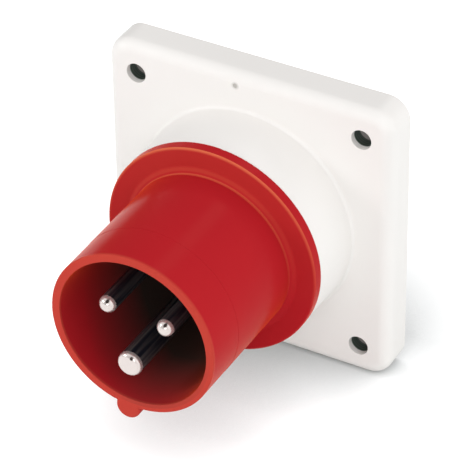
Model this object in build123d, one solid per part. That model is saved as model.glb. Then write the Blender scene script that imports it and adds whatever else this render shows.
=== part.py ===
from build123d import *
import math
import os

# A three-pole pin and sleeve inlet for panel mounting: a white square plate with a round boss,
# a red sleeve with its key rib, and three contact pins in a dark carrier behind it.
# Every shape is first built with Z pointing out of the panel and Y up, then laid into the
# part's own frame: -Y is the front, +Z is up, and the panel's surface is the plane Y = 0.

# Driving dimensions, in millimetres and degrees

# Mounting plate
fixing_pitch = 60.0
fixing_inset = 8.0
plate_depth = 9.3
plate_corner = 5.5
plate_edge_round = 3.0
plate_wall = 2.4
fixing_hole_d = 5.2
fixing_lip = 1.55
bush_wall = 1.5
post_wall = 1.7
rib_thick = 1.6
rib_count = 8
gate_mark_d = 1.2
gate_mark_depth = 0.55
gate_mark_from_edge = 3.3
gate_mark_aside = 3.1

# Boss on the plate
boss_height = 15.2
boss_wall = 2.2
boss_draft = 0.5
boss_base_fillet = 0.85

# Sleeve
sleeve_bore_d = 38.6
sleeve_wall = 2.05
sleeve_bore_draft = 0.3
sleeve_step = 0.04
sleeve_step_at = 24.9
cone_proud = 1.6
cone_high = 0.7
cone_foot_round = 1.5
cone_top_round = 0.25
flange_thick = 3.2
flange_front_round = 0.45
flange_back_round = 0.4
flange_overhang = 0.25
rim_outer_round = 0.2
rim_inner_round = 0.12
key_width = 6.2
key_proud = 4.05
key_round = 0.8
spigot_inset = 0.8
spigot_wall = 2.1
ledge_inset = 2.1
ledge_thick = 1.6
insert_turn = -5.2

# Contact carrier and its rear housing
well_depth = 38.0
carrier_stand = 4.0
carrier_flange_thick = 2.6
collar_high = 1.0
collar_wall = 0.9
seat_floor = 4.2
housing_flange_thick = 2.4
housing_flange_rim = 2.2
housing_length = 33.0
housing_end_wall = 2.3
housing_end_round = 1.2
wire_entry_d = 5.4
wire_entry_lead = 0.8

# Contact pins
pin_circle_d = 17.54
line_pin_d = 4.3
earth_pin_d = 6.2
line_tip_flat = 0.15
earth_tip_flat = 2.0
line_tip_past = 0.0
earth_tip_past = 1.0
pin_root_proud = 0.4
barrel_wall = 2.0
line_barrel_d = 7.8
earth_barrel_d = 8.8
wire_hole_depth = 11.0
screw_from_end = 6.8

# Terminal screws
screw_d = 3.5
screw_head_d = 5.4
screw_head_high = 1.8
screw_travel = 2.8
screw_slot = 0.8
screw_slot_deep = 0.9

# Fasteners
body_screw_d = 2.5
body_screw_head_d = 3.8
body_screw_head_high = 1.7
body_screw_cover = 1.0
body_screw_gap = 1.5
housing_screw_inset = 3.3
housing_screw_head_d = 4.4
housing_screw_grip = 5.5

# Seals
gasket_thick = 2.2
seal_section = 1.4
sleeve_seal_inset = 1.85
carrier_seal_section = 1.2

# Clearances
seat_gap = 0.3
sliding_gap = 0.05
carrier_gap = 0.5

# Sizes that follow, from the well outwards
sleeve_d = sleeve_bore_d + 2 * sleeve_wall
sleeve_cone_d = sleeve_d + 2 * cone_proud
key_reach = sleeve_d / 2 + key_proud
spigot_bore_d = sleeve_bore_d - 2 * spigot_inset
spigot_d = spigot_bore_d + 2 * spigot_wall
ledge_d = sleeve_bore_d - 2 * ledge_inset
housing_screw_circle_d = spigot_bore_d - 2 * housing_screw_inset
housing_flange_d = housing_screw_circle_d + housing_screw_head_d + 2 * housing_flange_rim
body_screw_circle_d = housing_flange_d + body_screw_head_d + 2 * body_screw_gap
carrier_flange_d = body_screw_circle_d + body_screw_head_d
boss_top_d = carrier_flange_d + 2 * (carrier_gap + boss_wall)
boss_base_d = boss_top_d + 2 * boss_draft
flange_d = boss_top_d + 2 * flange_overhang
sleeve_seal_circle_d = flange_d - 2 * sleeve_seal_inset
plate_side = fixing_pitch + 2 * fixing_inset
post_bore_d = fixing_hole_d + 2 * bush_wall
post_d = post_bore_d + 2 * post_wall

# Levels along the axis, measured out of the panel
boss_top = plate_depth + boss_height
flange_front = boss_top + flange_thick
wall_back = boss_top - plate_wall
carrier_face = wall_back + carrier_stand
rim = carrier_face + well_depth
carrier_back = wall_back - carrier_flange_thick
seat_level = carrier_face - seat_floor
housing_back = carrier_back - housing_length
barrel_end = housing_back + housing_end_wall + seat_gap
terminal_level = barrel_end + screw_from_end

# The pins: name, angle on the circle, shank, barrel, flat of the tip and reach past the rim
PINS = {
    "line_left": (150.0, line_pin_d, line_barrel_d, line_tip_flat, line_tip_past),
    "line_right": (30.0, line_pin_d, line_barrel_d, line_tip_flat, line_tip_past),
    "earth": (-90.0, earth_pin_d, earth_barrel_d, earth_tip_flat, earth_tip_past),
}
body_screw_angles = [45.0, 135.0, 225.0, 315.0]
housing_screw_angles = [90.0, 210.0, 330.0]


def polar(radius, angle):
    """A point on a circle round the axis, as X and Y."""
    return radius * math.cos(math.radians(angle)), radius * math.sin(math.radians(angle))


def rod(diameter, low, high, at=(0.0, 0.0)):
    """A round bar along the axis, between two levels."""
    align = (Align.CENTER, Align.CENTER, Align.MIN)
    return Pos(at[0], at[1], low) * Cylinder(diameter / 2, high - low, align=align)


def tube(outer, inner, low, high, at=(0.0, 0.0)):
    """A round tube along the axis, between two levels."""
    return rod(outer, low, high, at) - rod(inner, low, high, at)


def turned(points, rounds=()):
    """A solid of revolution from (radius, level) points, with some corners rounded."""
    face = make_face(Plane.XZ * Polyline(*points, close=True))
    for (radius, level), size in rounds:
        corner = face.vertices().sort_by_distance(Vector(radius, 0, level))[0]
        face = fillet(corner, size)
    return revolve(face, Axis.Z)


def slot_cut(width, depth, length, top):
    """The screwdriver slot across a screw head whose face is at the given level."""
    return Pos(0, 0, top - depth / 2) * Box(length, width, depth)


def lay(shape, turn=0.0):
    """Turns a shape round the axis and lays it into the part's own frame."""
    return Rot(90, 0, 0) * (Rot(0, 0, turn) * shape)


def save(shape, name):
    """Writes one sub-part."""
    solids = shape.solids()
    part = solids[0] if len(solids) == 1 else Compound(children=solids)
    export_step(part, os.path.join("parts", name + ".step"))


def fixing_points():
    """The centres of the four fixing holes."""
    half = fixing_pitch / 2
    return [(sx * half, sy * half) for sx in (-1, 1) for sy in (-1, 1)]


def pin_point(angle):
    """The centre of a contact pin."""
    return polar(pin_circle_d / 2, angle)


def root_d(shank_d):
    """A pin is a little thicker where the carrier holds it."""
    return shank_d + 2 * pin_root_proud


# Mounting plate and its seals

def rib(inner, outer):
    """One stiffening rib from the collar under the boss out to the skirt or a post."""
    low, high = gasket_thick, plate_depth - plate_wall / 2
    return Pos((inner + outer) / 2, 0, (low + high) / 2) * Box(outer - inner, rib_thick, high - low)


def mounting_plate():
    """A square cap with a round boss, hollow from behind, with posts, a collar and ribs."""
    upright = (Align.CENTER, Align.CENTER, Align.MIN)
    body = extrude(RectangleRounded(plate_side, plate_side, plate_corner), plate_depth)
    body = fillet(body.faces().sort_by(Axis.Z)[-1].edges(), plate_edge_round)
    body += Pos(0, 0, plate_depth) * Cone(boss_base_d / 2, boss_top_d / 2, boss_height, align=upright)
    rings = body.edges().filter_by(GeomType.CIRCLE)
    foot = rings.filter_by(lambda e: abs(e.radius - boss_base_d / 2) < sliding_gap)
    body = fillet(foot, boss_base_fillet)

    inner_side = plate_side - 2 * plate_wall
    hollow = RectangleRounded(inner_side, inner_side, plate_corner - plate_wall)
    body -= extrude(hollow, plate_depth - plate_wall)
    slope = boss_draft / boss_height
    hollow_low = boss_base_d / 2 - boss_wall + slope * plate_depth
    hollow_high = boss_top_d / 2 - boss_wall + slope * plate_wall
    body -= Cone(hollow_low, hollow_high, wall_back, align=upright)

    floor = plate_depth - plate_wall / 2
    collar_outer = boss_base_d / 2 + boss_wall / 2
    body += tube(2 * collar_outer, 2 * (collar_outer - boss_wall), gasket_thick, floor)
    for k in range(rib_count):
        turn = 360 / rib_count * k
        body += Rot(0, 0, turn) * rib(collar_outer - boss_wall / 2, (plate_side - plate_wall) / 2)
    for point in fixing_points():
        body += rod(post_d, 0, floor, point)

    for point in fixing_points():
        body -= rod(fixing_hole_d, 0, plate_depth, point)
        body -= rod(post_bore_d, 0, plate_depth - fixing_lip, point)
    body -= rod(spigot_d + 2 * seat_gap, wall_back, boss_top)
    for angle in body_screw_angles:
        at = polar(body_screw_circle_d / 2, angle + insert_turn)
        body -= rod(body_screw_d + 2 * seat_gap, wall_back, boss_top, at)
    up = plate_side / 2 - gate_mark_from_edge
    centre = plate_depth - gate_mark_depth + gate_mark_d / 2
    body -= Pos(-gate_mark_aside, up, centre) * Sphere(gate_mark_d / 2)
    return body


def panel_gasket():
    """A flat seal inside the skirt, notched round the posts; the slivers beyond them fall away."""
    side = plate_side - 2 * plate_wall - 2 * seat_gap
    sheet = extrude(RectangleRounded(side, side, plate_corner - plate_wall), gasket_thick)
    sheet -= rod(boss_base_d - boss_wall, 0, gasket_thick)
    for point in fixing_points():
        sheet -= rod(post_d + 2 * seat_gap, 0, gasket_thick, point)
    return sheet.solids().sort_by(SortBy.VOLUME)[-1]


def screw_bushes():
    """Four soft bushes that line the posts, under the lip of each fixing hole."""
    top = plate_depth - fixing_lip
    outer = post_bore_d - 2 * sliding_gap
    return Compound(children=[tube(outer, fixing_hole_d, 0, top, point) for point in fixing_points()])


# Sleeve and its seals

def sleeve():
    """The red sleeve: flange, tube, stepped spigot and key rib."""
    tube_r = sleeve_d / 2
    rear_r = tube_r + sleeve_step
    bore_r = sleeve_bore_d / 2
    spigot_end = wall_back + seat_gap
    ledge_top = carrier_face + ledge_thick
    step_level = flange_front + sleeve_step_at
    shell = turned(
        [
            (spigot_d / 2, spigot_end), (spigot_d / 2, boss_top), (flange_d / 2, boss_top),
            (flange_d / 2, flange_front), (sleeve_cone_d / 2, flange_front),
            (rear_r, flange_front + cone_high), (rear_r, step_level), (tube_r, step_level),
            (tube_r, rim), (bore_r, rim), (bore_r - sleeve_bore_draft, ledge_top), (ledge_d / 2, ledge_top),
            (ledge_d / 2, carrier_face), (spigot_bore_d / 2, carrier_face), (spigot_bore_d / 2, spigot_end),
        ],
        [
            ((flange_d / 2, flange_front), flange_front_round),
            ((flange_d / 2, boss_top), flange_back_round),
            ((sleeve_cone_d / 2, flange_front), cone_foot_round),
            ((rear_r, flange_front + cone_high), cone_top_round),
            ((tube_r, rim), rim_outer_round), ((bore_r, rim), rim_inner_round),
        ],
    )
    shell += key_rib()
    groove_r = sleeve_seal_circle_d / 2
    groove = seal_section / 2 + sliding_gap
    groove_top = boss_top + seal_section + sliding_gap
    shell -= tube(2 * (groove_r + groove), 2 * (groove_r - groove), boss_top, groove_top)
    for angle in body_screw_angles:
        at = polar(body_screw_circle_d / 2, angle)
        shell -= rod(body_screw_d + 2 * sliding_gap, boss_top, flange_front - body_screw_cover, at)
    return shell


def key_rib():
    """The round-nosed key rib along the underside of the tube."""
    root = sleeve_bore_d / 2 + sleeve_wall / 2
    centre = key_reach - key_width / 2
    foot = flange_front - flange_front_round
    profile = Pos(0, -centre / 2) * (Rot(0, 0, 90) * SlotCenterToCenter(centre, key_width))
    bar = extrude(Pos(0, 0, foot) * profile, rim - foot)
    bar = fillet(bar.faces().sort_by(Axis.Z)[-1].edges(), key_round)
    below = Pos(0, -key_reach, rim) * Box(2 * key_width, 2 * key_reach, 2 * rim)
    return (bar & below) - rod(2 * root, 0, 2 * rim)


def sleeve_seal():
    """The ring seal between the sleeve's flange and the boss."""
    return Pos(0, 0, boss_top + seal_section / 2) * Torus(sleeve_seal_circle_d / 2, seal_section / 2)


def carrier_seal_place():
    """Radius and level of the ring seal round the contact carrier."""
    radius = spigot_bore_d / 2 - carrier_seal_section / 2 - sliding_gap
    return radius, (wall_back + carrier_face) / 2


def carrier_seal():
    radius, level = carrier_seal_place()
    return Pos(0, 0, level) * Torus(radius, carrier_seal_section / 2)


# Contact carrier and terminal housing

def contact_carrier():
    """The dark disc that holds the pins, with a flange behind the boss."""
    body = rod(carrier_flange_d, carrier_back, wall_back)
    body += rod(spigot_bore_d - 2 * seat_gap, wall_back, carrier_face)
    for angle, shank_d, barrel_d, *_ in PINS.values():
        point = pin_point(angle)
        body += rod(root_d(shank_d) + 2 * collar_wall, carrier_face, carrier_face + collar_high, point)
    for angle, shank_d, barrel_d, *_ in PINS.values():
        point = pin_point(angle)
        body -= rod(root_d(shank_d) + 2 * sliding_gap, carrier_back, carrier_face + collar_high, point)
        body -= rod(barrel_d + 2 * seat_gap, carrier_back, seat_level, point)
    for angle in body_screw_angles:
        at = polar(body_screw_circle_d / 2, angle)
        body -= rod(body_screw_d + 2 * seat_gap, carrier_back, wall_back, at)
    for angle in housing_screw_angles:
        at = polar(housing_screw_circle_d / 2, angle)
        hole_end = carrier_back + housing_screw_grip + seat_gap
        body -= rod(body_screw_d + 2 * sliding_gap, carrier_back, hole_end, at)
    radius, level = carrier_seal_place()
    groove = carrier_seal_section / 2 + sliding_gap
    body -= tube(spigot_bore_d, 2 * (radius - groove), level - groove, level + groove)
    return body


def lobe_radius(barrel_d):
    """A lobe of the housing just hides the head of its open terminal screw."""
    return barrel_d / 2 + seat_gap + screw_travel + screw_head_high + seat_gap


def terminal_housing():
    """Three lobes round the pin barrels, with wire entries behind and screw holes at the sides."""
    lobes = Circle(pin_circle_d / 2)
    for angle, shank_d, barrel_d, *_ in PINS.values():
        lobes += Pos(*pin_point(angle)) * Circle(lobe_radius(barrel_d))
    body = extrude(Pos(0, 0, housing_back) * lobes, housing_length)
    body = fillet(body.faces().sort_by(Axis.Z)[0].edges(), housing_end_round)
    body += rod(housing_flange_d, carrier_back - housing_flange_thick, carrier_back)
    for angle, shank_d, barrel_d, *_ in PINS.values():
        point = pin_point(angle)
        body -= rod(barrel_d + 2 * seat_gap, barrel_end - seat_gap, carrier_back, point)
        body -= rod(wire_entry_d, housing_back, barrel_end, point)
        lead = (Align.CENTER, Align.CENTER, Align.MIN)
        wide = wire_entry_d / 2 + wire_entry_lead
        body -= Pos(*point, housing_back) * Cone(wide, wire_entry_d / 2, wire_entry_lead, align=lead)
        access = Rot(0, 90, 0) * Cylinder(screw_head_d / 2 + seat_gap, housing_flange_d / 2, align=lead)
        body -= Rot(0, 0, angle) * (Pos(pin_circle_d / 2, 0, terminal_level) * access)
    for angle in housing_screw_angles:
        at = polar(housing_screw_circle_d / 2, angle)
        body -= rod(body_screw_d + 2 * seat_gap, carrier_back - housing_flange_thick, carrier_back, at)
    return body


# Contact pins and terminal screws

def contact_pin(angle, shank_d, barrel_d, tip_flat, tip_past):
    """One turned pin: rounded tip, shank, root in the carrier, barrel, wire hole and screw hole."""
    tip = rim + tip_past
    shank_r, root_r, barrel_r = shank_d / 2, root_d(shank_d) / 2, barrel_d / 2
    collar_top = carrier_face + collar_high
    pin = turned(
        [
            (0, barrel_end), (barrel_r, barrel_end), (barrel_r, seat_level), (root_r, seat_level),
            (root_r, collar_top), (shank_r, collar_top), (shank_r, tip), (0, tip),
        ],
        [((shank_r, tip), shank_r - tip_flat)],
    )
    pin -= rod(barrel_d - 2 * barrel_wall, barrel_end, barrel_end + wire_hole_depth)
    out = (Align.CENTER, Align.CENTER, Align.MIN)
    screw_hole = Rot(0, 90, 0) * Cylinder(screw_d / 2 + sliding_gap, barrel_d, align=out)
    pin -= Pos(0, 0, terminal_level) * screw_hole
    return Rot(0, 0, angle) * (Pos(pin_circle_d / 2, 0, 0) * pin)


def terminal_screw(angle, barrel_d):
    """A slotted screw, backed out so that its end is just clear of the wire hole."""
    tip = barrel_d / 2 - barrel_wall + seat_gap
    head = barrel_d / 2 + seat_gap + screw_travel
    screw = rod(screw_d, tip, head) + rod(screw_head_d, head, head + screw_head_high)
    screw -= slot_cut(screw_slot, screw_slot_deep, screw_head_d, head + screw_head_high)
    screw = Pos(pin_circle_d / 2, 0, terminal_level) * (Rot(0, 90, 0) * screw)
    return Rot(0, 0, angle) * screw


# Fasteners

def axial_screw(circle_d, angle, head_d, seat, grip):
    """A slotted screw driven from behind, its head under the given seat."""
    screw = rod(body_screw_d, seat, seat + grip) + rod(head_d, seat - body_screw_head_high, seat)
    screw -= slot_cut(screw_slot, screw_slot_deep, head_d, seat - body_screw_head_high + screw_slot_deep)
    return Rot(0, 0, angle) * (Pos(circle_d / 2, 0, 0) * screw)


def main():
    os.makedirs("parts", exist_ok=True)
    save(lay(mounting_plate()), "mounting_plate")
    save(lay(panel_gasket()), "panel_gasket")
    save(lay(screw_bushes()), "screw_bushes")

    save(lay(sleeve(), insert_turn), "sleeve")
    save(lay(sleeve_seal(), insert_turn), "sleeve_seal")
    save(lay(contact_carrier(), insert_turn), "contact_carrier")
    save(lay(carrier_seal(), insert_turn), "carrier_seal")
    save(lay(terminal_housing(), insert_turn), "terminal_housing")

    for name, (angle, shank_d, barrel_d, tip_flat, tip_past) in PINS.items():
        save(lay(contact_pin(angle, shank_d, barrel_d, tip_flat, tip_past), insert_turn), "pin_" + name)
        save(lay(terminal_screw(angle, barrel_d), insert_turn), "terminal_screw_" + name)

    body_grip = flange_front - body_screw_cover - seat_gap - carrier_back
    for k, angle in enumerate(body_screw_angles):
        screw = axial_screw(body_screw_circle_d, angle, body_screw_head_d, carrier_back, body_grip)
        save(lay(screw, insert_turn), f"sleeve_screw_{k + 1}")
    housing_seat = carrier_back - housing_flange_thick
    for k, angle in enumerate(housing_screw_angles):
        grip = housing_flange_thick + housing_screw_grip
        screw = axial_screw(housing_screw_circle_d, angle, housing_screw_head_d, housing_seat, grip)
        save(lay(screw, insert_turn), f"housing_screw_{k + 1}")


main()
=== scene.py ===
# %% [markdown]
# A pin and sleeve inlet stands on a pale studio floor: a white moulded plate with a round boss, a red
# sleeve, and three dark contact pins with bright tips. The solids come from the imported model, which is
# the fixed frame. This script gives them their finishes, and sets up the camera, the floor and the lamps.

# %% Load the frame
import math
import bpy
from mathutils import Matrix, Vector


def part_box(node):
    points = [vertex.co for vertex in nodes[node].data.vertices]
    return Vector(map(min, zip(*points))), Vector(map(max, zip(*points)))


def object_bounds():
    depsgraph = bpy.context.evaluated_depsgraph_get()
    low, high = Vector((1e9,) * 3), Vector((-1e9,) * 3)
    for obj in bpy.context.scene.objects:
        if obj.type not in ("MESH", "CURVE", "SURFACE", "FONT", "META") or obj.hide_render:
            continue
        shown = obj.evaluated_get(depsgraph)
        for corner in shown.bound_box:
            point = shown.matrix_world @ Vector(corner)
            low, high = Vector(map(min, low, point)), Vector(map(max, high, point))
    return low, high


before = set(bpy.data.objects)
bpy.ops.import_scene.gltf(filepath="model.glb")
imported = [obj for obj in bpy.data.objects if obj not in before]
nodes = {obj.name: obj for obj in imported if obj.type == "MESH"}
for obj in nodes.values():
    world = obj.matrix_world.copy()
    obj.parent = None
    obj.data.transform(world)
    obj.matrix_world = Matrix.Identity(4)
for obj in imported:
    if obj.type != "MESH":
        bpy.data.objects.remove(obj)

cad_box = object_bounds()
MM = 0.001
print("CAD box in mm:", [[round(c / MM, 1) for c in corner] for corner in cad_box])

# %% [markdown]
# The camera is a long lens a good way off, a little to the object's right and well above it. Its place
# is given as two angles round the object, a distance and a small roll, which is how a photographer would
# describe it. The aim point lies on the plate's front face.

# %% Camera
PICTURE = 470
FOCAL_PIXELS = 3133.39
SENSOR = 36.0
CAMERA_AZIMUTH = math.radians(29.43)
CAMERA_ELEVATION = math.radians(36.09)
CAMERA_ROLL = math.radians(-0.81)
CAMERA_DISTANCE = 756.46 * MM
PLATE_DEPTH = 9.3 * MM
AIM = Vector((-3.66 * MM, -PLATE_DEPTH, -8.55 * MM))
NEAREST, FARTHEST = 0.05, 100.0


def place_camera():
    """A camera on a sphere round the aim point, level apart from its roll."""
    back = Vector((
        math.sin(CAMERA_AZIMUTH) * math.cos(CAMERA_ELEVATION),
        -math.cos(CAMERA_AZIMUTH) * math.cos(CAMERA_ELEVATION),
        math.sin(CAMERA_ELEVATION),
    ))
    right = Vector((math.cos(CAMERA_AZIMUTH), math.sin(CAMERA_AZIMUTH), 0))
    right = Matrix.Rotation(CAMERA_ROLL, 3, back) @ right
    up = back.cross(right)
    data = bpy.data.cameras.new("camera")
    data.sensor_width = SENSOR
    data.lens = FOCAL_PIXELS * SENSOR / PICTURE
    data.clip_start, data.clip_end = NEAREST, FARTHEST
    camera = bpy.data.objects.new("camera", data)
    axes = Matrix((right, up, back)).transposed()
    camera.matrix_world = Matrix.Translation(AIM + back * CAMERA_DISTANCE) @ axes.to_4x4()
    bpy.context.scene.collection.objects.link(camera)
    bpy.context.scene.camera = camera
    return camera


camera = place_camera()
print("lens", round(camera.data.lens, 1), "mm, distance", round(CAMERA_DISTANCE, 3), "m")

# %% [markdown]
# Colours are written as the hex codes that a picture editor shows. Blender works with linear light, so
# one function turns a code into linear numbers. A second function adds a shader node with its settings
# and its links in one call, which keeps each material short enough to read.

# %% Colour and node helpers
def colour(code):
    """An sRGB hex code as linear red, green, blue and alpha."""
    parts = [int(code[i:i + 2], 16) / 255 for i in (1, 3, 5)]
    return tuple(p / 12.92 if p <= 0.04045 else ((p + 0.055) / 1.055) ** 2.4 for p in parts) + (1.0,)


def add(tree, kind, inputs=None, **settings):
    """One node: settings are its options, inputs are values or the sockets that feed it."""
    node = tree.nodes.new(kind)
    for name, value in settings.items():
        setattr(node, name, value)
    for name, value in (inputs or {}).items():
        if isinstance(value, bpy.types.NodeSocket):
            tree.links.new(value, node.inputs[name])
        else:
            node.inputs[name].default_value = value
    return node


def new_material(name):
    """An empty node material, its tree and its output node."""
    material = bpy.data.materials.new(name)
    material.use_nodes = True
    material.node_tree.nodes.clear()
    return material, material.node_tree, add(material.node_tree, "ShaderNodeOutputMaterial")


def per_mm(size):
    """The scale of a texture in metres whose pattern repeats about every so many millimetres."""
    return 1.0 / (size * MM)


print("white as linear light:", colour("#ffffff"))

# %% [markdown]
# The plate is white polyamide, injection moulded in a tool with a fine satin texture. That gives soft,
# even reflections with no hard glints. The colour is a warm white that drifts very slightly where the
# melt flowed, and a grain breaks up the highlight, drawn coarser than the real texture so that it shows.
# Above the boss is the gate, where the melt came in: a small pit. The pit is a real shape in the solid,
# and a soft grey spot in the colour round it is painted shade in the pit.

# %% White polyamide
PLATE_FLOW, PLATE_GRAIN = 28, 0.5
PLATE_GRAIN_HIGH = 0.05 * MM
GATE_AT = Vector((-3.1 * MM, -PLATE_DEPTH, 34.7 * MM))
GATE_INNER, GATE_OUTER = 0.4 * MM, 1.15 * MM


def white_polyamide():
    material, tree, out = new_material("white polyamide, satin moulded")
    place = add(tree, "ShaderNodeTexCoord").outputs["Object"]
    drift = add(tree, "ShaderNodeTexNoise", {"Vector": place, "Scale": per_mm(PLATE_FLOW), "Detail": 2.0})
    body = add(tree, "ShaderNodeMix", {
        "Factor": drift.outputs["Fac"], "A": colour("#eeebe8"), "B": colour("#f1eeeb")}, data_type="RGBA")
    # Painted shade: a soft grey spot over the gate pit
    gate = add(tree, "ShaderNodeVectorMath", {0: place, 1: GATE_AT}, operation="DISTANCE")
    away = add(tree, "ShaderNodeMapRange", {
        "Value": gate.outputs["Value"], "From Min": GATE_INNER, "From Max": GATE_OUTER}).outputs["Result"]
    tint = add(tree, "ShaderNodeMix", {
        "Factor": away, "A": colour("#c6c3be"), "B": body.outputs["Result"]}, data_type="RGBA")
    grain = add(tree, "ShaderNodeTexNoise", {"Vector": place, "Scale": per_mm(PLATE_GRAIN), "Detail": 3.0})
    bump = add(tree, "ShaderNodeBump", {
        "Height": grain.outputs["Fac"], "Strength": 0.12, "Distance": PLATE_GRAIN_HIGH})
    shader = add(tree, "ShaderNodeBsdfPrincipled", {
        "Base Color": tint.outputs["Result"], "Roughness": 0.42, "IOR": 1.52,
        "Normal": bump.outputs["Normal"]})
    tree.links.new(shader.outputs["BSDF"], out.inputs["Surface"])
    return material


print("plate: melt flow about", PLATE_FLOW, "mm, grain", PLATE_GRAIN, "mm")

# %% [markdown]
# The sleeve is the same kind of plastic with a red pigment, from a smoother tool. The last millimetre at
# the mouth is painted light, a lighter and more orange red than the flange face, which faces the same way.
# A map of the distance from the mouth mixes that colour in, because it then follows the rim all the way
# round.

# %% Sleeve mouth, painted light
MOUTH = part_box("sleeve")[0][1]
RIM_GLOW_FROM, RIM_GLOW_TO = 0.15 * MM, 0.9 * MM


def mouth_painted_glow(tree, along, tint):
    """The given colour with painted light at the sleeve's mouth, turned lighter and more orange."""
    edge = add(tree, "ShaderNodeMapRange", {
        "Value": along, "From Min": MOUTH + RIM_GLOW_FROM, "From Max": MOUTH + RIM_GLOW_TO,
        "To Min": 1.0, "To Max": 0.0})
    # Painted light: the mouth's last millimetre drawn lighter and more orange
    mixed = add(tree, "ShaderNodeMix", {
        "Factor": edge.outputs["Result"], "A": tint, "B": colour("#bf4137")}, data_type="RGBA")
    return mixed.outputs["Result"]


print("the sleeve's mouth lies at", round(MOUTH / MM, 1), "mm along the axis")

# %% [markdown]
# The flange has roundings and a shallow cone, and on the real one they glint in a warm orange. A plastic
# shader makes every glancing reflection white, so the glint is drawn in the colour, as faint rings by
# radius. A colour ramp holds the amount at each radius. The rings are strongest toward the top of the
# flange and fade round to its foot, and a band along the axis keeps them off the tube and the back.

# %% Flange rings
# Radius in mm and amount
RINGS = ((21.2, 0.5), (21.5, 0.5), (21.58, 0.06), (21.9, 0.06), (22.1, 0.2), (22.6, 0.2), (23.0, 0.1),
         (27.15, 0.1), (27.4, 0.36), (27.85, 0.36))
RINGS_END = RINGS[-1][0]
RINGS_FRONT, RINGS_BACK = -28.9 * MM, -27.25 * MM
RINGS_STRONGEST = math.radians(100)
RINGS_FADED = -0.5


def ring_amount(tree, radius):
    """How much of the glint each radius has."""
    share = add(tree, "ShaderNodeMapRange", {"Value": radius, "From Max": RINGS_END * MM})
    ramp = add(tree, "ShaderNodeValToRGB", {"Fac": share.outputs["Result"]})
    stops = ramp.color_ramp.elements
    for reach, amount in RINGS:
        stops.new(min(reach / RINGS_END, 1.0)).color = (amount, amount, amount, 1.0)
    stops.remove(stops[-1])
    return ramp.outputs["Color"]


def ring_tint(tree, along, across, radius, tint):
    """The given colour with the flange's warm rings, by the place along, across and round the axis."""
    strongest = (math.cos(RINGS_STRONGEST), math.sin(RINGS_STRONGEST), 0.0)
    outward = add(tree, "ShaderNodeVectorMath", {0: across}, operation="NORMALIZE")
    side = add(tree, "ShaderNodeVectorMath", {
        0: outward.outputs["Vector"], 1: strongest}, operation="DOT_PRODUCT")
    side = add(tree, "ShaderNodeMapRange", {
        "Value": side.outputs["Value"], "From Min": RINGS_FADED, "From Max": 1.0})
    behind_front = add(tree, "ShaderNodeMath", {0: along, 1: RINGS_FRONT}, operation="GREATER_THAN")
    before_back = add(tree, "ShaderNodeMath", {0: along, 1: RINGS_BACK}, operation="LESS_THAN")
    warm = ring_amount(tree, radius)
    for part in (side.outputs["Result"], behind_front.outputs[0], before_back.outputs[0]):
        warm = add(tree, "ShaderNodeMath", {0: warm, 1: part}, operation="MULTIPLY").outputs[0]
    mixed = add(tree, "ShaderNodeMix", {"Factor": warm, "A": tint, "B": colour("#dc6e4c")}, data_type="RGBA")
    return mixed.outputs["Result"]


print("flange rings between", RINGS[0][0], "and", RINGS_END, "mm from the axis")

# %% [markdown]
# The bore is a deep, closed well. On the real one its red sinks to a brown black long before the bottom,
# later on the left wall and sooner low down. Bounced light alone would keep it red, so the wall's colour
# itself is mixed toward a dark grey brown with depth, as painted shade. The depth is leaned a little to the
# side and down.

# %% Bore, painted shade
BORE_LIMIT = 20.3 * MM
BORE_SHADE_LEAD, BORE_SHADE_DEPTH = 1 * MM, 23 * MM
BORE_LEAN, BORE_DROP = 0.6, -0.2


def bore_painted_shade(tree, axes, radius, tint):
    """The given colour with painted shade, sinking to a dark brown grey with depth inside the bore."""
    inside = add(tree, "ShaderNodeMath", {0: radius, 1: BORE_LIMIT}, operation="LESS_THAN")
    left = add(tree, "ShaderNodeMath", {0: axes["X"], 1: 0.0}, operation="MINIMUM")
    depth = add(tree, "ShaderNodeMath", {
        0: left.outputs[0], 1: BORE_LEAN, 2: axes["Y"]}, operation="MULTIPLY_ADD").outputs[0]
    depth = add(tree, "ShaderNodeMath", {
        0: axes["Z"], 1: BORE_DROP, 2: depth}, operation="MULTIPLY_ADD").outputs[0]
    depth = add(tree, "ShaderNodeMapRange", {
        "Value": depth, "From Min": MOUTH - BORE_SHADE_LEAD, "From Max": MOUTH + BORE_SHADE_DEPTH})
    shade = add(tree, "ShaderNodeMath", {
        0: depth.outputs["Result"], 1: inside.outputs[0]}, operation="MULTIPLY")
    # Painted shade: the bore's red mixed toward a dark grey brown with depth
    mixed = add(tree, "ShaderNodeMix", {
        "Factor": shade.outputs[0], "A": tint, "B": colour("#3c3632")}, data_type="RGBA")
    return mixed.outputs["Result"]


print("the bore darkens over", round(BORE_SHADE_DEPTH / MM), "mm")

# %% [markdown]
# The red itself drifts a little, as the plate's white does. Its gloss is broad and warm: the mirror part
# is kept weak and amber, and a sheen with an orange tint gives the soft glow toward the edges of the tube
# that a pigmented, slightly clear plastic has. The tool's grain is drawn coarser here too.

# %% Red polyamide
SLEEVE_FLOW, SLEEVE_GRAIN = 22, 0.8
SLEEVE_GRAIN_HIGH = 0.05 * MM


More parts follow.
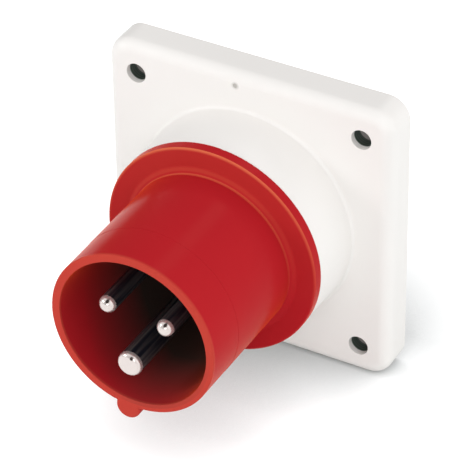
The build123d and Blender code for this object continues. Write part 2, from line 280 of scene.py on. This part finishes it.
def red_polyamide():
    material, tree, out = new_material("red polyamide, semi-gloss moulded, painted light and shade")
    place = add(tree, "ShaderNodeTexCoord").outputs["Object"]
    axes = add(tree, "ShaderNodeSeparateXYZ", {"Vector": place}).outputs
    across = add(tree, "ShaderNodeCombineXYZ", {"X": axes["X"], "Y": axes["Z"]}).outputs["Vector"]
    radius = add(tree, "ShaderNodeVectorMath", {0: across}, operation="LENGTH").outputs["Value"]
    drift = add(tree, "ShaderNodeTexNoise", {"Vector": place, "Scale": per_mm(SLEEVE_FLOW), "Detail": 3.0})
    body = add(tree, "ShaderNodeMix", {
        "Factor": drift.outputs["Fac"], "A": colour("#b01e27"), "B": colour("#b62129")}, data_type="RGBA")
    # Painted light at the mouth, painted glints on the flange and painted shade in the bore
    tint = mouth_painted_glow(tree, axes["Y"], body.outputs["Result"])
    tint = ring_tint(tree, axes["Y"], across, radius, tint)
    tint = bore_painted_shade(tree, axes, radius, tint)
    grain = add(tree, "ShaderNodeTexNoise", {"Vector": place, "Scale": per_mm(SLEEVE_GRAIN), "Detail": 3.0})
    bump = add(tree, "ShaderNodeBump", {
        "Height": grain.outputs["Fac"], "Strength": 0.06, "Distance": SLEEVE_GRAIN_HIGH})
    shader = add(tree, "ShaderNodeBsdfPrincipled", {
        "Base Color": tint, "Roughness": 0.22, "IOR": 1.45, "Normal": bump.outputs["Normal"],
        "Specular Tint": colour("#ffb848"), "Specular IOR Level": 0.027,
        "Sheen Weight": 0.46, "Sheen Roughness": 0.35, "Sheen Tint": colour("#ff6420")})
    tree.links.new(shader.outputs["BSDF"], out.inputs["Surface"])
    return material


print("sleeve: melt flow about", SLEEVE_FLOW, "mm, grain", SLEEVE_GRAIN, "mm")

# %% [markdown]
# The carrier and the terminal housing are black thermoset, pressed and slightly dusty-looking. The
# gasket and the ring seals are moulded rubber, which is a little greener and duller. One function makes
# both, because they differ only in colour, gloss and grain. The grain is about a millimetre, coarser than
# a real pressed surface, so that it still shows from a step away.

# %% Black thermoset and seal rubber
ROUGH_LESS, ROUGH_MORE = 0.05, 0.08
DULL_GRAIN_HIGH = 0.04 * MM


def dull_black(name, code, roughness, grain_mm):
    material, tree, out = new_material(name)
    place = add(tree, "ShaderNodeTexCoord").outputs["Object"]
    grain = add(tree, "ShaderNodeTexNoise", {"Vector": place, "Scale": per_mm(grain_mm), "Detail": 4.0})
    spread = add(tree, "ShaderNodeMapRange", {
        "Value": grain.outputs["Fac"], "To Min": roughness - ROUGH_LESS, "To Max": roughness + ROUGH_MORE})
    bump = add(tree, "ShaderNodeBump", {
        "Height": grain.outputs["Fac"], "Strength": 0.2, "Distance": DULL_GRAIN_HIGH})
    shader = add(tree, "ShaderNodeBsdfPrincipled", {
        "Base Color": colour(code), "Roughness": spread.outputs["Result"], "IOR": 1.5,
        "Normal": bump.outputs["Normal"]})
    tree.links.new(shader.outputs["BSDF"], out.inputs["Surface"])
    return material


thermoset = dull_black("black thermoset, pressed", "#1b1a1b", 0.45, 1.2)
rubber = dull_black("dark rubber, moulded", "#2b302b", 0.6, 0.9)
print("made:", thermoset.name, "and", rubber.name)

# %% [markdown]
# The bushes in the fixing holes are a greener rubber with fine rings, and a stretch deeper in looks
# paler. The rings are drawn a little coarser than they would be, so that they still show at the
# picture's size. A sine along the hole's axis makes them, which needs no modelling.

# %% Bush rubber
RING_PITCH = 0.7
PALE_FROM, PALE_TO = 4.1 * MM, 4.5 * MM
PALE_FADES, PALE_ENDS = 5.6 * MM, 6.4 * MM


def bush_rubber():
    material, tree, out = new_material("green-black rubber, ringed")
    place = add(tree, "ShaderNodeTexCoord").outputs["Object"]
    along = add(tree, "ShaderNodeSeparateXYZ", {"Vector": place}).outputs["Y"]
    turns = add(tree, "ShaderNodeMath", {0: along, 1: 2 * math.pi / (RING_PITCH * MM)}, operation="MULTIPLY")
    waves = add(tree, "ShaderNodeMath", {0: turns.outputs[0]}, operation="SINE")
    waves = add(tree, "ShaderNodeMapRange", {"Value": waves.outputs[0], "From Min": -1.0, "From Max": 1.0})
    lining = add(tree, "ShaderNodeMix", {
        "Factor": waves.outputs["Result"], "A": colour("#2c3730"), "B": colour("#546158")}, data_type="RGBA")
    front = -PLATE_DEPTH
    rise = add(tree, "ShaderNodeMapRange", {
        "Value": along, "From Min": front + PALE_FROM, "From Max": front + PALE_TO})
    fall = add(tree, "ShaderNodeMapRange", {
        "Value": along, "From Min": front + PALE_FADES, "From Max": front + PALE_ENDS,
        "To Min": 1.0, "To Max": 0.0})
    pale = add(tree, "ShaderNodeMath", {
        0: rise.outputs["Result"], 1: fall.outputs["Result"]}, operation="MULTIPLY")
    tint = add(tree, "ShaderNodeMix", {
        "Factor": pale.outputs[0], "A": lining.outputs["Result"], "B": colour("#b9b1ae")}, data_type="RGBA")
    shader = add(tree, "ShaderNodeBsdfPrincipled", {
        "Base Color": tint.outputs["Result"], "Roughness": 0.55, "IOR": 1.5})
    tree.links.new(shader.outputs["BSDF"], out.inputs["Surface"])
    return material


print("bush rings every", RING_PITCH, "mm")

# %% [markdown]
# Each pin is nickel-plated brass. Only the domed tip looks bright: the shank mirrors the dark well and
# reads as gloss black with faint grey streaks along it. The shank's colour is that painted reflection, near
# black with painted highlight streaks, split from the bright tip at the neck by the distance along the axis.
# Near its upper edge each tip mirrors the dark well too, drawn as one small painted dark reflection.

# %% Plated contact
TIP_LENGTH = {"pin_line_left": 2.0, "pin_line_right": 2.0, "pin_earth": 1.6}
STREAK_WIDE, STREAK_LONG = 0.9, 30
STREAK_LOW, STREAK_HIGH = 0.42, 0.68
# Where the painted dark reflection lies to the right of the pin's axis and above it, in mm
DARK_REFLECTION_AT = {"pin_line_left": (0.55, 1.5), "pin_line_right": (0.55, 1.5), "pin_earth": (0.95, 2.3)}
DARK_REFLECTION_INNER, DARK_REFLECTION_OUTER = 0.3 * MM, 0.52 * MM


def shank_painted_reflection(tree, place):
    """Painted reflection of the dark well: near black, with grey streaks of painted highlight along the
    axis.
    """
    drawn = add(tree, "ShaderNodeVectorMath", {
        0: place, 1: (per_mm(STREAK_WIDE), per_mm(STREAK_LONG), per_mm(STREAK_WIDE))}, operation="MULTIPLY")
    streaks = add(tree, "ShaderNodeTexNoise", {
        "Vector": drawn.outputs["Vector"], "Scale": 1.0, "Detail": 2.0})
    streaks = add(tree, "ShaderNodeMapRange", {
        "Value": streaks.outputs["Fac"], "From Min": STREAK_LOW, "From Max": STREAK_HIGH})
    # Painted reflection of the dark well, with painted highlight streaks
    mixed = add(tree, "ShaderNodeMix", {
        "Factor": streaks.outputs["Result"],
        "A": colour("#14161f"), "B": colour("#4c4947")}, data_type="RGBA")
    return mixed.outputs["Result"]


def tip_tint(tree, axes, node):
    """Bright nickel with one painted dark reflection near the upper edge."""
    low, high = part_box(node)
    aside, above = DARK_REFLECTION_AT[node]
    reflection_spot = ((low[0] + high[0]) / 2 + aside * MM, 0.0, (low[2] + high[2]) / 2 + above * MM)
    flat = add(tree, "ShaderNodeCombineXYZ", {"X": axes["X"], "Z": axes["Z"]})
    near = add(tree, "ShaderNodeVectorMath", {0: flat.outputs["Vector"], 1: reflection_spot}, operation="DISTANCE")
    away = add(tree, "ShaderNodeMapRange", {
        "Value": near.outputs["Value"], "From Min": DARK_REFLECTION_INNER, "From Max": DARK_REFLECTION_OUTER})
    # Painted reflection: a small dark spot near the tip's upper edge
    mixed = add(tree, "ShaderNodeMix", {
        "Factor": away.outputs["Result"], "A": colour("#3b302c"), "B": colour("#e2d8d4")}, data_type="RGBA")
    return mixed.outputs["Result"]


def plated_contact(node):
    material, tree, out = new_material("nickel-plated brass, polished, " + node)
    place = add(tree, "ShaderNodeTexCoord").outputs["Object"]
    axes = add(tree, "ShaderNodeSeparateXYZ", {"Vector": place}).outputs
    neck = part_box(node)[0][1] + TIP_LENGTH[node] * MM
    bright = add(tree, "ShaderNodeMath", {0: axes["Y"], 1: neck}, operation="LESS_THAN").outputs[0]
    tint = add(tree, "ShaderNodeMix", {
        "Factor": bright, "A": shank_painted_reflection(tree, place), "B": tip_tint(tree, axes, node)}, data_type="RGBA")
    plated = add(tree, "ShaderNodeMapRange", {"Value": bright, "To Min": 0.0, "To Max": 0.65})
    polish = add(tree, "ShaderNodeMapRange", {"Value": bright, "To Min": 0.3, "To Max": 0.17})
    shader = add(tree, "ShaderNodeBsdfPrincipled", {
        "Base Color": tint.outputs["Result"], "Metallic": plated.outputs["Result"],
        "Roughness": polish.outputs["Result"]})
    tree.links.new(shader.outputs["BSDF"], out.inputs["Surface"])
    return material


print("bright tips:", TIP_LENGTH)

# %% [markdown]
# The screws are zinc-plated steel, seen only from behind. A grain in the polish, coarser than real
# turning marks, keeps them from looking like plain grey.

# %% Zinc-plated steel
TURNED_GRAIN = 0.6


def zinc_steel():
    material, tree, out = new_material("zinc-plated steel, turned")
    place = add(tree, "ShaderNodeTexCoord").outputs["Object"]
    grain = add(tree, "ShaderNodeTexNoise", {"Vector": place, "Scale": per_mm(TURNED_GRAIN), "Detail": 4.0})
    polish = add(tree, "ShaderNodeMapRange", {"Value": grain.outputs["Fac"], "To Min": 0.22, "To Max": 0.4})
    shader = add(tree, "ShaderNodeBsdfPrincipled", {
        "Base Color": colour("#c9c8c2"), "Metallic": 1.0, "Roughness": polish.outputs["Result"]})
    tree.links.new(shader.outputs["BSDF"], out.inputs["Surface"])
    return material


steel = zinc_steel()
print("made:", steel.name)

# %% [markdown]
# Every solid keeps its own shape and gets its one finish. The screws share the steel, and each pin has
# a material of its own, because the neck and the painted dark reflection lie at its own place.

# %% Finishes on the solids
def dress(material, *names):
    """Gives each named solid one finish."""
    for name in names:
        mesh = nodes[name].data
        mesh.materials.clear()
        mesh.materials.append(material)


dress(white_polyamide(), "mounting_plate")
dress(red_polyamide(), "sleeve")
dress(thermoset, "contact_carrier", "terminal_housing")
dress(rubber, "panel_gasket", "sleeve_seal", "carrier_seal")
dress(bush_rubber(), "screw_bushes")
for pin in TIP_LENGTH:
    dress(plated_contact(pin), pin)
SCREWS = ("terminal_screw", "sleeve_screw", "housing_screw")
dress(steel, *[name for name in nodes if name.startswith(SCREWS)])
print("finishes:", sorted({node.data.materials[0].name for node in nodes.values()}))

# %% [markdown]
# The floor is a wide pale plane at the plate's lower edge. For the camera it is partly paper, which takes
# the real shadows, and partly a white glow that the object dims where it closes the floor in, as in a
# retouched catalogue shadow. That shade reaches further behind the plate than in front of it. In the open
# the paper and the glow add up to white. Reflections see the glow alone, and every other ray meets plain
# paper.

# %% Floor
FLOOR_SIZE = 60.0
PAPER_SHARE = 0.33
FRONT_REACH, REAR_REACH = 27 * MM, 120 * MM
FRONT_GLOW, REAR_GLOW = 1.12, 1.3
REAR_POWER = 2.5
SHADE_SAMPLES = 16


def floor_openness(tree):
    """How open the floor is: near 1 in the open, and less where the object closes it in."""
    place = add(tree, "ShaderNodeNewGeometry").outputs["Position"]
    along = add(tree, "ShaderNodeSeparateXYZ", {"Vector": place}).outputs["Y"]
    behind = add(tree, "ShaderNodeMapRange", {
        "Value": along, "From Min": -PLATE_DEPTH, "From Max": PLATE_DEPTH})
    near = add(tree, "ShaderNodeAmbientOcclusion", {"Distance": FRONT_REACH}, samples=SHADE_SAMPLES)
    near = add(tree, "ShaderNodeMath", {0: near.outputs["AO"], 1: FRONT_GLOW}, operation="MULTIPLY")
    far = add(tree, "ShaderNodeAmbientOcclusion", {"Distance": REAR_REACH}, samples=SHADE_SAMPLES)
    far = add(tree, "ShaderNodeMath", {0: far.outputs["AO"], 1: REAR_POWER}, operation="POWER")
    far = add(tree, "ShaderNodeMath", {0: far.outputs[0], 1: REAR_GLOW}, operation="MULTIPLY")
    mixed = add(tree, "ShaderNodeMix", {
        "Factor": behind.outputs["Result"], "A": near.outputs[0], "B": far.outputs[0]}, data_type="FLOAT")
    return mixed.outputs["Result"]


def studio_paper():
    """Paper with a glow for the camera, the glow for mirrored rays, and plain paper for the rest."""
    material, tree, out = new_material("studio floor")
    path = add(tree, "ShaderNodeLightPath").outputs
    mirrored = add(tree, "ShaderNodeMath", {
        0: path["Is Glossy Ray"], 1: path["Is Transmission Ray"]}, operation="MAXIMUM")
    paper = add(tree, "ShaderNodeBsdfDiffuse", {"Color": colour("#f4f8f8")})
    glow = add(tree, "ShaderNodeEmission", {"Color": colour("#ffffff"), "Strength": floor_openness(tree)})
    part = add(tree, "ShaderNodeMixShader", {0: 1 - PAPER_SHARE, 1: paper.outputs[0]})
    shown = add(tree, "ShaderNodeAddShader", {0: part.outputs[0], 1: glow.outputs[0]})
    unseen = add(tree, "ShaderNodeMixShader", {
        0: mirrored.outputs[0], 1: paper.outputs[0], 2: glow.outputs[0]})
    both = add(tree, "ShaderNodeMixShader", {
        0: path["Is Camera Ray"], 1: unseen.outputs[0], 2: shown.outputs[0]})
    tree.links.new(both.outputs[0], out.inputs["Surface"])
    return material


def studio_floor():
    """A square plane at the object's lower edge."""
    half, level = FLOOR_SIZE / 2, cad_box[0][2]
    corners = [(-half, -half, level), (half, -half, level), (half, half, level), (-half, half, level)]
    mesh = bpy.data.meshes.new("floor")
    mesh.from_pydata(corners, [], [(0, 1, 2, 3)])
    mesh.materials.append(studio_paper())
    floor = bpy.data.objects.new("floor", mesh)
    bpy.context.scene.collection.objects.link(floor)
    return floor


floor = studio_floor()
print("floor at", round(floor.data.vertices[0].co.z / MM, 1), "mm")

# %% [markdown]
# The light is soft. The room itself glows: brightest to the right, fainter above, and dim behind on the
# left, which models the plate's edges without hard shadows. A key lamp stands to the front left, a wide
# lamp in front and a small one behind. The levels are set so that a colour renders about as it is written.

# %% Room
# How bright the room is toward each side: the axis, its sign, the level in front and the level behind
ROOM = (("X", 1, 1.22, 1.45), ("X", -1, 0.68, 0.0), ("Z", 1, 0.7, 0.5))
ROOM_LEAST = 0.03
ROOM_TURN = 0.1


def surround():
    """A pale room, brighter to the right and dim behind on the left."""
    world = bpy.data.worlds.new("surround")
    world.use_nodes = True
    tree = world.node_tree
    tree.nodes.clear()
    toward = add(tree, "ShaderNodeSeparateXYZ", {
        "Vector": add(tree, "ShaderNodeTexCoord").outputs["Generated"]}).outputs
    level = ROOM_LEAST
    for axis, sign, front, behind in ROOM:
        side = add(tree, "ShaderNodeMath", {0: toward[axis], 1: sign}, operation="MULTIPLY")
        side = add(tree, "ShaderNodeMath", {0: side.outputs[0], 1: 0.0}, operation="MAXIMUM")
        gain = add(tree, "ShaderNodeMapRange", {
            "Value": toward["Y"], "From Min": -ROOM_TURN, "From Max": ROOM_TURN,
            "To Min": front, "To Max": behind})
        level = add(tree, "ShaderNodeMath", {
            0: side.outputs[0], 1: gain.outputs["Result"], 2: level}, operation="MULTIPLY_ADD").outputs[0]
    glow = add(tree, "ShaderNodeBackground", {"Color": colour("#ffffff"), "Strength": level})
    out = add(tree, "ShaderNodeOutputWorld")
    tree.links.new(glow.outputs[0], out.inputs["Surface"])
    bpy.context.scene.world = world


surround()
print("room levels:", ROOM)

# %% Lamps
LAMP_DISTANCE = 1.2
# Name, turn to the right and height in degrees, width in metres and power in watts
LAMPS = (("key lamp", -50, 23, 0.35, 2.8),
         ("front lamp", 10, 18, 0.6, 2.74),
         ("back lamp", 174, 45, 0.3, 0.8))


def soft_lamp(name, azimuth, elevation, size, power):
    """A round soft lamp on a sphere round the object; azimuth 0 is in front, negative is to the left."""
    turn, rise = math.radians(azimuth), math.radians(elevation)
    toward = Vector((math.sin(turn) * math.cos(rise), -math.cos(turn) * math.cos(rise), math.sin(rise)))
    middle = Vector((0, cad_box[0][1] / 2, 0))
    data = bpy.data.lights.new(name, "AREA")
    data.shape = "DISK"
    data.size = size
    data.energy = power
    lamp = bpy.data.objects.new(name, data)
    lamp.location = toward * LAMP_DISTANCE
    lamp.rotation_mode = "QUATERNION"
    lamp.rotation_quaternion = (middle - lamp.location).to_track_quat("-Z", "Y")
    bpy.context.scene.collection.objects.link(lamp)
    return lamp


for lamp in LAMPS:
    print("lamp:", soft_lamp(*lamp).name)
bpy.context.scene.view_settings.view_transform = "Standard"
